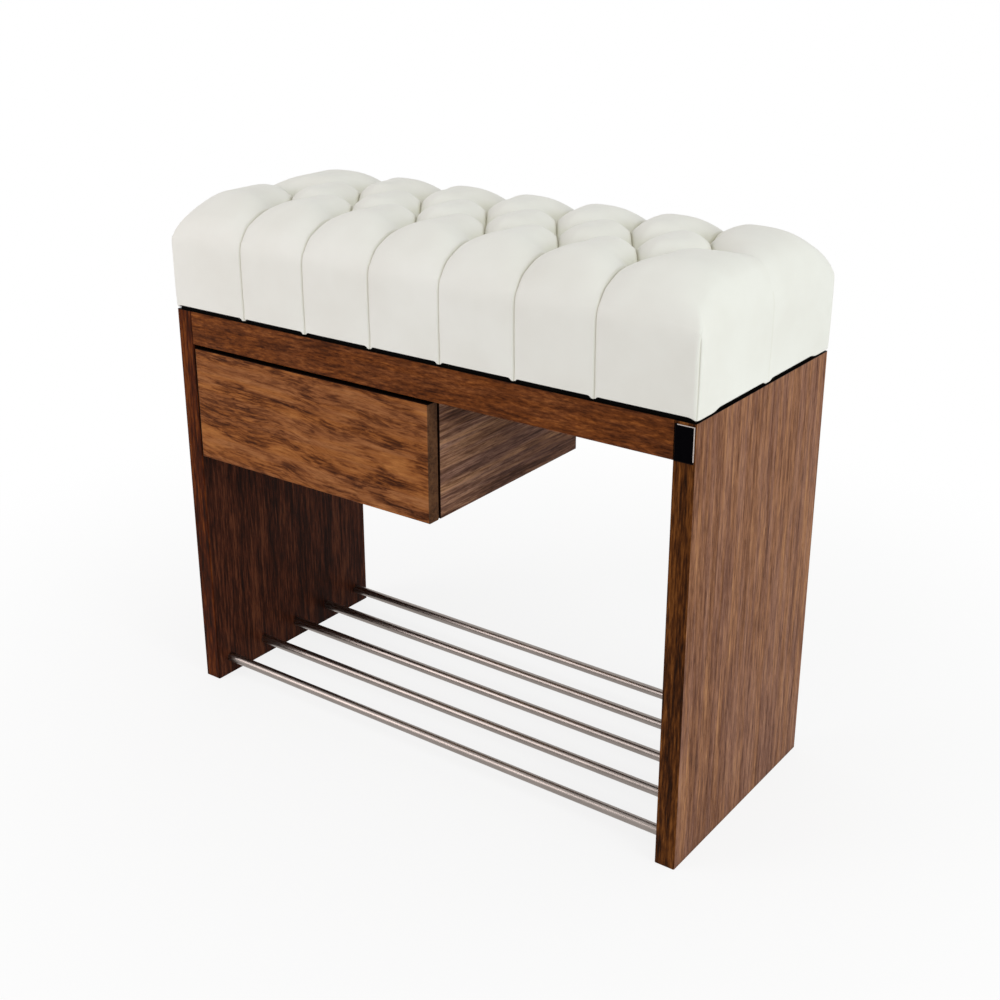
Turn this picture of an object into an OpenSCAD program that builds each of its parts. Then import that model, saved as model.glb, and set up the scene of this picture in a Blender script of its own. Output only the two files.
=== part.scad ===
// Shoe storage bench: a stained wood frame with a rack of steel tubes for
// shoes, a drawer on ball-bearing runners and a deep-tufted seat cushion.
// X runs along the seat, the drawer opens towards -Y, and the bench stands
// on Z = 0 with its middle over the origin.

/* [Frame] */
// Width over the two side panels
bench_w = 600; // [560:10:760]
// Depth of the wood frame
bench_d = 250; // [240:5:320]
// Height of the wood frame, without the cushion
frame_h = 424; // [400:4:480]
// Thickness of the side panels
panel_t = 20; // [18:1:24]
// Chamfer along the edges of the boards that show
edge_ease = 0.8; // [0.5:0.1:1]
// Height of the front and back rails
rail_h = 35; // [30:1:45]
// Thickness of the front and back rails
rail_t = 20; // [18:1:24]
// Thickness of the top board between the rails
top_t = 15; // [12:1:18]
// Diameter of the dowels that join the frame
dowel_d = 8; // [6:1:9]
// Length of those dowels
dowel_l = 30; // [26:1:32]
// How deep a dowel sits in the first of the two boards
dowel_seat = 12; // [10:1:13]

/* [Drawer case] */
// Thickness of the partition between the drawer and the open bay
partition_t = 16; // [15:1:20]
// Thickness of the board that closes the case behind the drawer
case_back_t = 6; // [4:1:8]
// How far that board stands in from the back edge of the bench
case_back_inset = 8; // [5:1:10]
// Depth of the grooves that hold it
case_groove = 5; // [3:1:7]

/* [Drawer] */
// Width of the drawer front
drawer_w = 304; // [280:2:320]
// Height of the drawer front
drawer_h = 118; // [114:2:130]
// Thickness of the drawer front
front_t = 14; // [13:1:17]
// Gap between the drawer front and the left panel
side_gap = 2; // [1:0.5:3]
// Gap between the drawer front and the front rail
top_gap = 4; // [3:0.5:6]
// Gap between the drawer front and the partition, where the bumpers sit
bumper_gap = 3; // [2:0.5:4]
// Height of the drawer's sides
box_h = 90; // [80:1:92]
// Thickness of the drawer's sides and back
box_t = 12; // [10:1:14]
// How far the front hangs below the sides, which makes the finger pull
finger_lip = 16; // [12:1:18]
// Thickness of the drawer's bottom
bottom_t = 5; // [4:0.5:6]
// Depth of the grooves that hold the bottom
bottom_groove = 6; // [4:1:6]
// Height of the bottom over the lower edge of the sides
bottom_lift = 8; // [6:1:10]
// How far the drawer's back stands below the top of the sides
back_drop = 5; // [0:1:10]
// Free space behind the drawer
rear_gap = 18; // [12:1:30]

/* [Runners] */
// Space between the case and the drawer that one runner fills
runner_w = 12.7; // [12.5:0.1:13.5]
// Height of a runner
runner_h = 35; // [33:1:40]
// Height of a runner's middle over the lower edge of the drawer's sides
runner_lift = 50; // [40:1:60]
// Thickness of the steel of the runners
runner_steel = 1.2; // [1:0.1:1.3]
// Diameter of the balls in the runners
ball_d = 3; // [2.5:0.1:3.2]
// Balls in one row of a cage
ball_count = 4; // [3:1:6]

/* [Rack] */
// Number of tubes that the shoes stand on
tube_count = 5; // [4:1:7]
// Outer diameter of a tube
tube_d = 10; // [8:1:12]
// Wall thickness of a tube
tube_wall = 1; // [0.8:0.1:1.5]
// Height of the tubes' axes over the floor
tube_z = 20; // [15:1:40]
// Distance of the first tube's axis from the front edge of the panels
tube_margin = 19; // [15:1:30]
// How deep a tube sits in each panel
tube_seat = 10; // [6:1:12]

/* [Cushion] */
// Height of the cushion's puffs over its lower edge
crown_rise = 117; // [105:0.2:125]
// Height of the cushion's upright sides
side_rise = 82; // [70:1:86]
// How far the cushion stands out over the frame all round
overhang = 2; // [1.8:0.1:4]
// Distance between the tufts of a row
tuft_pitch = 81.5; // [75:0.5:95]
// Distance between the rows of tufts
row_pitch = 58; // [52:1:62]
// Depth of the folds between the puffs
fold_depth = 15; // [8:1:20]
// Extra depth of the folds at a tuft
pit_depth = 11; // [6:1:18]
// Thickness of the plywood base inside the cushion
base_t = 12; // [10:1:15]
// Thickness of the cover's hem, which the cushion rests on
hem_t = 1.6; // [1.4:0.1:2.4]
// Width of that hem
hem_w = 28; // [20:1:32]

/* [Corner plate] */
// Width of the bare plate on the right panel's front edge
plate_w = 18; // [12:0.5:18]
// Height of that plate
plate_h = 32; // [20:1:40]
// Thickness of the plate's metal base
plate_t = 1; // [0.6:0.1:1]
// Thickness of the dark inlay on it
inlay_t = 0.4; // [0.2:0.1:0.6]
// Width of the metal rim round the inlay
plate_rim = 0.9; // [0.5:0.1:2]
// Distance of the plate from the top of the frame
plate_drop = 2.6; // [1:0.1:6]

/* [Hidden] */
$fn = 48;
// Clearance round a dowel, screw, tube or board in its bore or groove
bore_play = 0.1;
// Clearance at the end of a dowel or tube
end_play = 0.5;
// Clearance between a ball and each of its two tracks
ball_play = 0.1;
// Clearance between the closed drawer front and its bumpers
bumper_play = 0.2;
// Clearance between the cushion and the base inside it
cover_play = 0.3;
// Clearance between the tufts' washers and the top board
washer_play = 0.2;
// How far a cut runs past the face it starts from
overrun = 1;

// Faces of the frame
half_w = bench_w / 2;
half_d = bench_d / 2;
in_x0 = -half_w + panel_t;
in_x1 = half_w - panel_t;
rail_z = frame_h - rail_h;
top_z = frame_h - top_t;
rail_in_y = half_d - rail_t;

// Drawer front, partition and drawer box
front_x0 = in_x0 + side_gap;
front_x1 = front_x0 + drawer_w;
front_z0 = rail_z - top_gap - drawer_h;
part_x0 = front_x1 - partition_t;
part_y0 = -half_d + front_t + bumper_gap;
case_back_y0 = half_d - case_back_inset - case_back_t;
box_x0 = in_x0 + runner_w;
box_x1 = part_x0 - runner_w;
box_y0 = -half_d + front_t;
box_d = case_back_y0 - rear_gap - box_y0;
box_z0 = front_z0 + finger_lip;
bottom_z = box_z0 + bottom_lift;
back_z0 = bottom_z + bottom_t;
back_h = box_z0 + box_h - back_drop - back_z0;
back_y0 = box_y0 + box_d - box_t;

// Runners, measured from the face that carries one towards the drawer
runner_setback = 4;
runner_y0 = box_y0 + runner_setback;
runner_l = box_d - runner_setback;
runner_z = box_z0 + runner_lift;
cage_t = 0.8;
web_gap = 0.4;
runner_head_d = 6.8;
runner_head_h = 1.4;
ball_space = ball_d + 2 * ball_play;
outer_cage_back = runner_steel + runner_head_h + web_gap;
middle_back = outer_cage_back + cage_t + 2 * web_gap;
inner_cage_back = middle_back + runner_steel + web_gap;
slide_tip = inner_cage_back + cage_t + web_gap;
middle_tip = runner_w - runner_steel - web_gap;
case_tip = middle_tip - ball_d / 2;
outer_ball_u = (middle_back + case_tip) / 2;
inner_ball_u = (slide_tip + middle_tip) / 2;
middle_h = runner_h - 2 * runner_steel - 2 * ball_space;
slide_h = middle_h - 2 * runner_steel - 2 * ball_space;
outer_ball_z = (runner_h + middle_h) / 4 - runner_steel / 2;
inner_ball_z = (middle_h + slide_h) / 4 - runner_steel / 2;
cage_l = runner_l / 2;
runner_screw_shares = [0.18, 0.82];

// Screws
screw_d = 3.5;
case_screw_l = 12;
slide_screw_l = 9;
bottom_screw_d = 3;
bottom_screw_l = 16;
bottom_screw_shares = [0.15, 0.5, 0.85];
pan_head_share = 1.9;
pan_height_share = 0.62;
flat_head_share = 1.9;
tip_share = 0.3;
recess_share = 0.55;
recess_slot_share = 0.14;
partition_screw_d = 5;
partition_screw_l = 45;
partition_screw_shares = [0.2, 0.5, 0.8];
seat_screw_d = 4;
seat_screw_l = 24;
seat_screw_x_share = 0.82;
seat_screw_y_share = 0.8;
seat_screw_offset = 32;

// Dowels
rail_dowel_shares = [0.27, 0.73];
top_dowel_shares = [0.18, 0.5, 0.82];
joint_dowel_shares = [0.12, 0.5, 0.88];
box_dowel_d = 6;
box_dowel_l = 24;
box_dowel_seat = 8;
box_dowel_shares = [0.3, 0.8];
back_dowel_shares = [0.2, 0.8];

// Small parts
bumper_d = 9;
bumper_shares = [0.14, 0.86];
washer_d = 14;
washer_hole_d = 1.8;
twine_d = 1.6;
twine_bore_d = 3;
hem_inset = 5;
hem_mitre = 0.2;

// Plan and edges of the cushion, as distances in from its outline
cushion_l = bench_w + 2 * overhang;
cushion_d = bench_d + 2 * overhang;
cushion_z = frame_h + hem_t;
base_inset = hem_inset;
pocket_inset = base_inset - cover_play;
pocket_h = base_t + cover_play;
roll_inset = 7;
shoulder_inset = 1.4;
tuck_inset = 2.4;
corner_round = 4;
pleat_depth = 3.2;
crown_reach = 55;
crown_power = 2.4;
fold_reach = 33;
pit_reach = 24;
edge_fold_share = 0.12;
belly_share = 0.55;
shoulder_share = 0.96;

// Rack
tube_pitch = (bench_d - 2 * tube_margin) / (tube_count - 1);

// Colours
walnut = [0.38, 0.23, 0.15];
walnut_dark = [0.28, 0.16, 0.11];
walnut_light = [0.52, 0.32, 0.18];
birch = [0.78, 0.66, 0.48];
beech = [0.80, 0.63, 0.43];
steel = [0.72, 0.73, 0.74];
zinc = [0.62, 0.64, 0.66];
ivory = [0.90, 0.88, 0.83];
black = [0.06, 0.06, 0.06];
clear_rubber = [0.80, 0.82, 0.82];

// Ways that a dowel, tube or screw can point
plus_x = [1, 0, 0];
minus_x = [-1, 0, 0];
plus_y = [0, 1, 0];
minus_y = [0, -1, 0];
minus_z = [0, 0, -1];

// Section of a board, a by b, with its four corners eased
function eased(a, b) = [
    [edge_ease, 0], [a - edge_ease, 0], [a, edge_ease], [a, b - edge_ease],
    [a - edge_ease, b], [edge_ease, b], [0, b - edge_ease], [0, edge_ease]
];

// Where each frame dowel crosses its joint, and the way it points
frame_dowel_places = concat(
    [for (y = [-half_d + rail_t / 2, half_d - rail_t / 2], s = rail_dowel_shares)
        [[in_x0, y, rail_z + s * rail_h], plus_x]],
    [for (y = [-half_d + rail_t / 2, half_d - rail_t / 2], s = rail_dowel_shares)
        [[in_x1, y, rail_z + s * rail_h], minus_x]],
    [for (s = top_dowel_shares)
        [[in_x0, (2 * s - 1) * rail_in_y, top_z + top_t / 2], plus_x]],
    [for (s = top_dowel_shares)
        [[in_x1, (2 * s - 1) * rail_in_y, top_z + top_t / 2], minus_x]],
    [for (s = joint_dowel_shares)
        [[in_x0 + s * (in_x1 - in_x0), -rail_in_y, top_z + top_t / 2], plus_y]],
    [for (s = joint_dowel_shares)
        [[in_x0 + s * (in_x1 - in_x0), rail_in_y, top_z + top_t / 2], minus_y]]
);

// The same for the drawer's dowels
box_dowel_places = concat(
    [for (x = [box_x0 + box_t / 2, box_x1 - box_t / 2], s = box_dowel_shares)
        [[x, box_y0, box_z0 + s * box_h], plus_y]],
    [for (s = back_dowel_shares)
        [[box_x0 + box_t, back_y0 + box_t / 2, back_z0 + s * back_h], plus_x]],
    [for (s = back_dowel_shares)
        [[box_x1 - box_t, back_y0 + box_t / 2, back_z0 + s * back_h], minus_x]]
);

// Tufts of the cushion in a row shifted by a share of the pitch
function tuft_xs(shift_share) = let (most = ceil(cushion_l / tuft_pitch)) [
    for (k = [-most:most])
        let (x = (k + shift_share) * tuft_pitch)
            if (abs(x) <= cushion_l / 2 - tuft_pitch / 2) x
];
middle_tufts = [for (x = tuft_xs(0)) [x, 0]];
outer_tufts = [for (side = [-1, 1], x = tuft_xs(1 / 2)) [x, side * row_pitch]];
tufts = concat(middle_tufts, outer_tufts);

// Folds run from tuft to tuft, and as pleats from the outer tufts to the edge
folds = concat(
    [for (a = outer_tufts, b = middle_tufts)
        if (abs(a.x - b.x) < tuft_pitch) [a, b]],
    [for (a = outer_tufts) [a, [a.x, sign(a.y) * cushion_d / 2]]],
    [for (b = [middle_tufts[0], middle_tufts[len(middle_tufts) - 1]])
        [b, [sign(b.x) * cushion_l / 2, 0]]]
);

// Distance from a point of the plan to a fold
function fold_gap(p, f) =
    let (run = f[1] - f[0], t = max(0, min(1, (p - f[0]) * run / (run * run))))
        norm(p - f[0] - t * run);

// 1 on a fold or a tuft, falling to 0 at its reach
function fold_near(p) = max(0, 1 - min([for (f = folds) fold_gap(p, f)]) / fold_reach);
function tuft_near(p) = max(0, 1 - min([for (t = tufts) norm(p - t)]) / pit_reach);

// Height of the cushion's top over its lower edge
function top_rise(p) =
    let (
        inset = min(cushion_l / 2 - abs(p.x), cushion_d / 2 - abs(p.y)),
        in_share = min(inset / crown_reach, 1),
        fold_share = edge_fold_share + (1 - edge_fold_share) * in_share
    )
    side_rise + (crown_rise - side_rise) * (1 - pow(1 - in_share, crown_power))
        - fold_depth * fold_share * pow(fold_near(p), 2)
        - pit_depth * pow(tuft_near(p), 2);

// The top is a net of triangles whose rows follow the folds: even rows have
// a point at every tuft, and odd rows are shifted by half a step
net_step = tuft_pitch / 4;
net_x = cushion_l / 2 - roll_inset;
net_y = cushion_d / 2 - roll_inset;
net_half = floor((net_x - net_step / 4) / net_step);
net_even = 2 * net_half + 3;
net_odd = 2 * net_half + 2;
half_rows = concat(
    [for (i = [0:3]) -net_y + (net_y - row_pitch) * i / 4],
    [for (i = [0:3]) -row_pitch + row_pitch * i / 4]
);
row_ys = concat(half_rows, [0], [for (i = [7:-1:0]) -half_rows[i]]);
last_row = len(row_ys) - 1;

function row_start(j) = floor(j / 2) * (net_even + net_odd) + (j % 2) * net_even;
function row_len(j) = j % 2 == 0 ? net_even : net_odd;
function row_xs(j) = concat(
    [-net_x],
    [for (k = [1:row_len(j) - 2]) (k - 1 - net_half + (j % 2) / 2) * net_step],
    [net_x]
);

// Net points on the outline, counter-clockwise seen from above
net_rim = concat(
    [for (k = [0:net_even - 1]) [row_xs(0)[k], -net_y]],
    [for (j = [1:last_row - 1]) [net_x, row_ys[j]]],
    [for (k = [net_even - 1:-1:0]) [row_xs(0)[k], net_y]],
    [for (j = [last_row - 1:-1:1]) [-net_x, row_ys[j]]]
);
rim_ids = concat(
    [for (k = [0:net_even - 1]) k],
    [for (j = [1:last_row - 1]) row_start(j) + row_len(j) - 1],
    [for (k = [net_even - 1:-1:0]) row_start(last_row) + k],
    [for (j = [last_row - 1:-1:1]) row_start(j)]
);
rim_len = len(rim_ids);

// One ring of the sides: each rim point moved out to its inset, drawn in at
// the pleats and at the corners
function side_ring(inset, z, pleat, round) = [
    for (p = net_rim)
        let (
            on_end = abs(p.x) == net_x,
            on_side = abs(p.y) == net_y,
            cut = inset + pleat * pow(fold_near(p), 2) + (on_end && on_side ? round : 0)
        )
        [
            on_end ? sign(p.x) * (cushion_l / 2 - cut) : p.x,
            on_side ? sign(p.y) * (cushion_d / 2 - cut) : p.y,
            z
        ]
];

function corner_pull(p) = abs(p.x) == net_x && abs(p.y) == net_y ? corner_round : 0;
function net_point(x, y) = let (c = corner_pull([x, y])) [
    x - sign(x) * c, y - sign(y) * c, cushion_z + top_rise([x, y])
];

function strip(j) = let (
    even = j % 2 == 0 ? row_start(j) : row_start(j + 1),
    odd = j % 2 == 0 ? row_start(j + 1) : row_start(j),
    last_e = net_even - 1,
    last_o = net_odd - 1,
    up = concat(
        [for (k = [1:last_e - 2]) [even + k, odd + k, even + k + 1]],
        [for (k = [1:last_o - 2]) [odd + k, odd + k + 1, even + k + 1]],
        [[even, odd, even + 1], [odd, odd + 1, even + 1]],
        [[even + last_e - 1, odd + last_o, even + last_e]],
        [[even + last_e - 1, odd + last_o - 1, odd + last_o]]
    )
) j % 2 == 0 ? up : [for (f = up) [f[0], f[2], f[1]]];

function band(upper, lower) = [
    for (i = [0:rim_len - 1], part = [0, 1])
        let (n = (i + 1) % rim_len)
        part == 0 ? [upper[i], upper[n], lower[n]] : [upper[i], lower[n], lower[i]]
];

// Turns +Z to point along way
module aim(way) {
    rotate([0, acos(way.z / norm(way)), atan2(way.y, way.x)]) children();
}

// The boards that show, and what is cut from them

module dowels(places, d, seat, l) {
    for (p = places)
        translate(p[0]) aim(p[1]) translate([0, 0, -seat]) cylinder(h = l, d = d);
}

module frame_dowel_bores()
    dowels(frame_dowel_places, dowel_d + 2 * bore_play, dowel_seat + end_play,
        dowel_l + 2 * end_play);

module box_dowel_bores()
    dowels(box_dowel_places, box_dowel_d + 2 * bore_play, box_dowel_seat + end_play,
        box_dowel_l + 2 * end_play);

function tube_y(i) = -half_d + tube_margin + (i - 1) * tube_pitch;

module tube_bores() {
    bore_l = in_x1 - in_x0 + 2 * tube_seat;
    for (i = [1:tube_count])
        translate([in_x0 - tube_seat, tube_y(i), tube_z]) aim(plus_x)
            cylinder(h = bore_l, d = tube_d + 2 * bore_play);
}

module case_back_slot() {
    translate([in_x0 - case_groove, case_back_y0 - bore_play, front_z0])
        cube([
            part_x0 + case_groove - in_x0 + case_groove,
            case_back_t + 2 * bore_play,
            rail_z + case_groove - front_z0
        ]);
}

module panel(x) {
    difference() {
        translate([x, -half_d, 0]) linear_extrude(frame_h) polygon(eased(panel_t, bench_d));
        tube_bores();
        frame_dowel_bores();
    }
}

module side_panel_left() {
    color(walnut_dark) difference() {
        panel(-half_w);
        case_back_slot();
        case_screw_bores();
    }
}

module side_panel_right() {
    color(walnut) panel(in_x1);
}

module rail(y) {
    difference() {
        translate([in_x0, y, rail_z]) rotate([90, 0, 90]) linear_extrude(in_x1 - in_x0)
            polygon(eased(rail_t, rail_h));
        frame_dowel_bores();
    }
}

module front_rail() {
    color(walnut) rail(-half_d);
}

module back_rail() {
    color(walnut) difference() {
        rail(rail_in_y);
        case_back_slot();
    }
}

module top_board() {
    color(walnut_dark) difference() {
        translate([in_x0, -rail_in_y, top_z]) cube([in_x1 - in_x0, 2 * rail_in_y, top_t]);
        frame_dowel_bores();
        partition_screw_bores();
        seat_screw_bores();
    }
}

module partition() {
    color(walnut) difference() {
        translate([part_x0, part_y0, front_z0])
            cube([partition_t, half_d - part_y0, top_z - front_z0]);
        for (y = [-half_d - overrun, rail_in_y])
            translate([part_x0 - overrun, y, rail_z])
                cube([partition_t + 2 * overrun, rail_t + overrun, rail_h]);
        case_back_slot();
        case_screw_bores();
        partition_screw_bores();
    }
}

module case_back() {
    color(walnut_dark)
        translate([in_x0 - case_groove + bore_play, case_back_y0, front_z0])
            cube([
                part_x0 - in_x0 + 2 * case_groove - 2 * bore_play,
                case_back_t,
                rail_z + case_groove - bore_play - front_z0
            ]);
}

module frame_dowels() {
    color(beech) dowels(frame_dowel_places, dowel_d, dowel_seat, dowel_l);
}

module front_bumpers() {
    color(clear_rubber)
        for (s = bumper_shares)
            translate([part_x0 + partition_t / 2, part_y0, front_z0 + s * drawer_h])
                aim(minus_y) cylinder(h = bumper_gap - bumper_play, d = bumper_d);
}

// Screws point along -Z. The top of a flat head, or the seat of a pan head,
// is at the origin.

module screw_shank(d, l) {
    translate([0, 0, -l + d]) cylinder(h = l - d, d = d);
    translate([0, 0, -l]) cylinder(h = d, d1 = tip_share * d, d2 = d);
}

module cross_recess(head_d, depth) {
    slot = recess_slot_share * head_d;
    reach = recess_share * head_d;
    for (turn = [0, 90])
        rotate(turn) translate([-reach / 2, -slot / 2, -depth])
            cube([reach, slot, depth + overrun]);
}

module flat_screw(d, l) {
    head_d = flat_head_share * d;
    head_h = (head_d - d) / 2;
    difference() {
        union() {
            screw_shank(d, l);
            translate([0, 0, -head_h]) cylinder(h = head_h, d1 = d, d2 = head_d);
        }
        cross_recess(head_d, recess_share * head_h);
    }
}

module flat_screw_bore(d, l) {
    bore_d = d + 2 * bore_play;
    head_d = flat_head_share * d + 2 * bore_play;
    head_h = (head_d - bore_d) / 2;
    translate([0, 0, -l - end_play]) cylinder(h = l + end_play, d = bore_d);
    translate([0, 0, -head_h]) cylinder(h = head_h, d1 = bore_d, d2 = head_d);
    cylinder(h = overrun, d = head_d);
}

module pan_screw(d, l, head_d, head_h) {
    difference() {
        union() {
            screw_shank(d, l);
            cylinder(h = head_h / 2, d = head_d);
            translate([0, 0, head_h / 2])
                cylinder(h = head_h / 2, d1 = head_d, d2 = (head_d + d) / 2);
        }
        translate([0, 0, head_h]) cross_recess(d + head_h, recess_share * head_h);
    }
}

module screw_bore(d, l) {
    translate([0, 0, -l - end_play]) cylinder(h = l + end_play + overrun, d = d + 2 * bore_play);
}

module at_partition_screws() {
    for (s = partition_screw_shares)
        translate([part_x0 + partition_t / 2, (2 * s - 1) * rail_in_y, frame_h]) children();
}

module partition_screws() {
    color(zinc) at_partition_screws() flat_screw(partition_screw_d, partition_screw_l);
}

module partition_screw_bores() {
    at_partition_screws() flat_screw_bore(partition_screw_d, partition_screw_l);
}

// Rack of tubes

module rack_tube(i) {
    tube_l = in_x1 - in_x0 + 2 * tube_seat - 2 * end_play;
    color(steel) translate([in_x0 - tube_seat + end_play, tube_y(i), tube_z])
        aim(plus_x) difference() {
            cylinder(h = tube_l, d = tube_d);
            translate([0, 0, -overrun])
                cylinder(h = tube_l + 2 * overrun, d = tube_d - 2 * tube_wall);
        }
}

// Bare plate at the upper front corner of the right panel

module plate_blank(inset, y, t) {
    x1 = half_w - edge_ease - inset;
    translate([x1 - plate_w + 2 * inset, y - t, frame_h - plate_drop - plate_h + inset])
        cube([plate_w - 2 * inset, t, plate_h - 2 * inset]);
}

module corner_plate() {
    color(steel) plate_blank(0, -half_d, plate_t);
}

module corner_plate_inlay() {
    color(black) plate_blank(plate_rim, -half_d - plate_t, inlay_t);
}

// Seat

module seat_sheet(inset, z, t) {
    l = cushion_l - 2 * inset;
    d = cushion_d - 2 * inset;
    translate([-l / 2, -d / 2, z]) cube([l, d, t]);
}

// One edge of the hem as a strip along X, mitred at both ends
module hem_strip(l, d) {
    translate([0, -d / 2, frame_h]) linear_extrude(hem_t) polygon([
        [-l / 2 + hem_mitre, 0], [l / 2 - hem_mitre, 0],
        [l / 2 - hem_w - hem_mitre, hem_w], [-l / 2 + hem_w + hem_mitre, hem_w]
    ]);
}

module cover_hem() {
    l = cushion_l - 2 * hem_inset;
    d = cushion_d - 2 * hem_inset;
    color(ivory) {
        for (turn = [0, 180]) rotate(turn) hem_strip(l, d);
        for (turn = [90, 270]) rotate(turn) hem_strip(d, l);
    }
}

module seat_base() {
    color(birch) difference() {
        seat_sheet(base_inset, cushion_z, base_t);
        for (t = tufts)
            translate([t.x, t.y, cushion_z - overrun])
                cylinder(h = base_t + 2 * overrun, d = twine_bore_d);
        seat_screw_bores();
    }
}

module cushion() {
    rows = [for (j = [0:last_row], x = row_xs(j)) net_point(x, row_ys[j])];
    rings = [
        side_ring(shoulder_inset, cushion_z + shoulder_share * side_rise, pleat_depth, corner_round),
        side_ring(0, cushion_z + belly_share * side_rise, pleat_depth, corner_round),
        side_ring(tuck_inset, cushion_z, 0, corner_round / 2),
        side_ring(pocket_inset, cushion_z, 0, 0),
        side_ring(pocket_inset, cushion_z + pocket_h, 0, 0)
    ];
    net_len = len(rows);
    ids = concat(
        [rim_ids],
        [for (r = [0:len(rings) - 1]) [for (i = [0:rim_len - 1]) net_len + r * rim_len + i]]
    );
    points = concat(rows, [for (r = rings, p = r) p], [[0, 0, cushion_z + pocket_h]]);
    roof = len(points) - 1;
    floor_ids = ids[len(ids) - 1];
    color(ivory) polyhedron(points, concat(
        [for (j = [0:last_row - 1], f = strip(j)) f],
        [for (r = [0:len(ids) - 2], f = band(ids[r], ids[r + 1])) f],
        [for (i = [0:rim_len - 1]) [floor_ids[i], floor_ids[(i + 1) % rim_len], roof]]
    ));
}

module tuft_twines() {
    color(ivory)
        for (t = tufts)
            translate([t.x, t.y, frame_h + washer_play])
                cylinder(h = hem_t - washer_play + pocket_h, d = twine_d);
}

module tuft_washers() {
    color(zinc)
        for (t = tufts)
            translate([t.x, t.y, frame_h + washer_play]) difference() {
                cylinder(h = hem_t - washer_play, d = washer_d);
                translate([0, 0, -overrun]) cylinder(h = hem_t + 2 * overrun, d = washer_hole_d);
            }
}

module at_seat_screws() {
    for (side = [-1, 1], x = [-seat_screw_x_share * half_w, front_x1 + seat_screw_offset,
            seat_screw_x_share * half_w])
        translate([x, side * seat_screw_y_share * rail_in_y, top_z]) aim(minus_z)
            children();
}

module seat_screws() {
    color(zinc) at_seat_screws()
        pan_screw(seat_screw_d, seat_screw_l, pan_head_share * seat_screw_d,
            pan_height_share * seat_screw_d);
}

module seat_screw_bores() {
    at_seat_screws() screw_bore(seat_screw_d, seat_screw_l);
}

// Drawer

module drawer_front() {
    color(walnut_light) difference() {
        translate([front_x0, -half_d, front_z0]) rotate([90, 0, 90])
            linear_extrude(drawer_w) polygon(eased(front_t, drawer_h));
        box_dowel_bores();
        drawer_bottom_slot();
    }
}

module drawer_side(x) {
    color(birch) difference() {
        translate([x, box_y0, box_z0]) cube([box_t, box_d, box_h]);
        box_dowel_bores();
        drawer_bottom_slot();
        slide_screw_bores();
    }
}

module drawer_side_left() {
    drawer_side(box_x0);
}

module drawer_side_right() {
    drawer_side(box_x1 - box_t);
}

module drawer_back() {
    color(birch) difference() {
        translate([box_x0 + box_t, back_y0, back_z0])
            cube([box_x1 - box_x0 - 2 * box_t, box_t, back_h]);
        box_dowel_bores();
        bottom_screw_bores();
    }
}

module drawer_bottom_sheet(play, rear) {
    reach = bottom_groove - box_t;
    translate([box_x0 - reach - play, box_y0 - bottom_groove - play, bottom_z - play])
        cube([
            box_x1 - box_x0 + 2 * reach + 2 * play,
            box_d + bottom_groove + play + rear,
            bottom_t + 2 * play
        ]);
}

module drawer_bottom_slot() {
    drawer_bottom_sheet(bore_play, overrun);
}

module drawer_bottom() {
    color(birch) difference() {
        drawer_bottom_sheet(0, 0);
        bottom_screw_bores();
    }
}

module drawer_dowels() {
    color(beech) dowels(box_dowel_places, box_dowel_d, box_dowel_seat, box_dowel_l);
}

module at_bottom_screws() {
    for (s = bottom_screw_shares)
        translate([box_x0 + s * (box_x1 - box_x0), back_y0 + box_t / 2, bottom_z])
            aim(minus_z) children();
}

module drawer_bottom_screws() {
    color(zinc) at_bottom_screws()
        pan_screw(bottom_screw_d, bottom_screw_l, pan_head_share * bottom_screw_d,
            pan_height_share * bottom_screw_d);
}

module bottom_screw_bores() {
    at_bottom_screws() screw_bore(bottom_screw_d, bottom_screw_l);
}

// Runners. Their sections are drawn from the face that carries the case
// member, with x running towards the drawer; the right side is mirrored.

module runner_at(side) {
    if (side < 0)
        translate([in_x0, runner_y0, runner_z]) children();
    else
        translate([part_x0, runner_y0, runner_z]) mirror([1, 0, 0]) children();
}

// A channel of height h with its web at back and its flanges reaching to tip
function channel(back, tip, h, t) = let (inner = back + sign(tip - back) * t) [
    [back, -h / 2], [tip, -h / 2], [tip, t - h / 2], [inner, t - h / 2],
    [inner, h / 2 - t], [tip, h / 2 - t], [tip, h / 2], [back, h / 2]
];

module along_y(l) {
    translate([0, l, 0]) rotate([90, 0, 0]) linear_extrude(l) children();
}

module at_case_screws(side) {
    runner_at(side) for (s = runner_screw_shares)
        translate([runner_steel, s * runner_l, 0]) aim(plus_x) children();
}

module at_slide_screws(side) {
    runner_at(side) for (s = runner_screw_shares)
        translate([runner_w - runner_steel, s * runner_l, 0]) aim(minus_x) children();
}

module case_screw_bores() {
    for (side = [-1, 1]) at_case_screws(side) screw_bore(screw_d, case_screw_l);
}

module slide_screw_bores() {
    for (side = [-1, 1]) at_slide_screws(side) screw_bore(screw_d, slide_screw_l);
}

module case_runner_screws() {
    color(zinc) for (side = [-1, 1]) at_case_screws(side)
        pan_screw(screw_d, case_screw_l, runner_head_d, runner_head_h);
}

module slide_runner_screws() {
    color(zinc) for (side = [-1, 1]) at_slide_screws(side)
        pan_screw(screw_d, slide_screw_l, runner_head_d, runner_head_h);
}

module case_member(side) {
    color(zinc) difference() {
        runner_at(side) along_y(runner_l) polygon(channel(0, case_tip, runner_h, runner_steel));
        case_screw_bores();
    }
}

module middle_member(side) {
    color(zinc) runner_at(side) along_y(runner_l)
        polygon(channel(middle_back, middle_tip, middle_h, runner_steel));
}

module slide_member(side) {
    color(zinc) difference() {
        runner_at(side) along_y(runner_l)
            polygon(channel(runner_w, slide_tip, slide_h, runner_steel));
        slide_screw_bores();
    }
}

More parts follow.
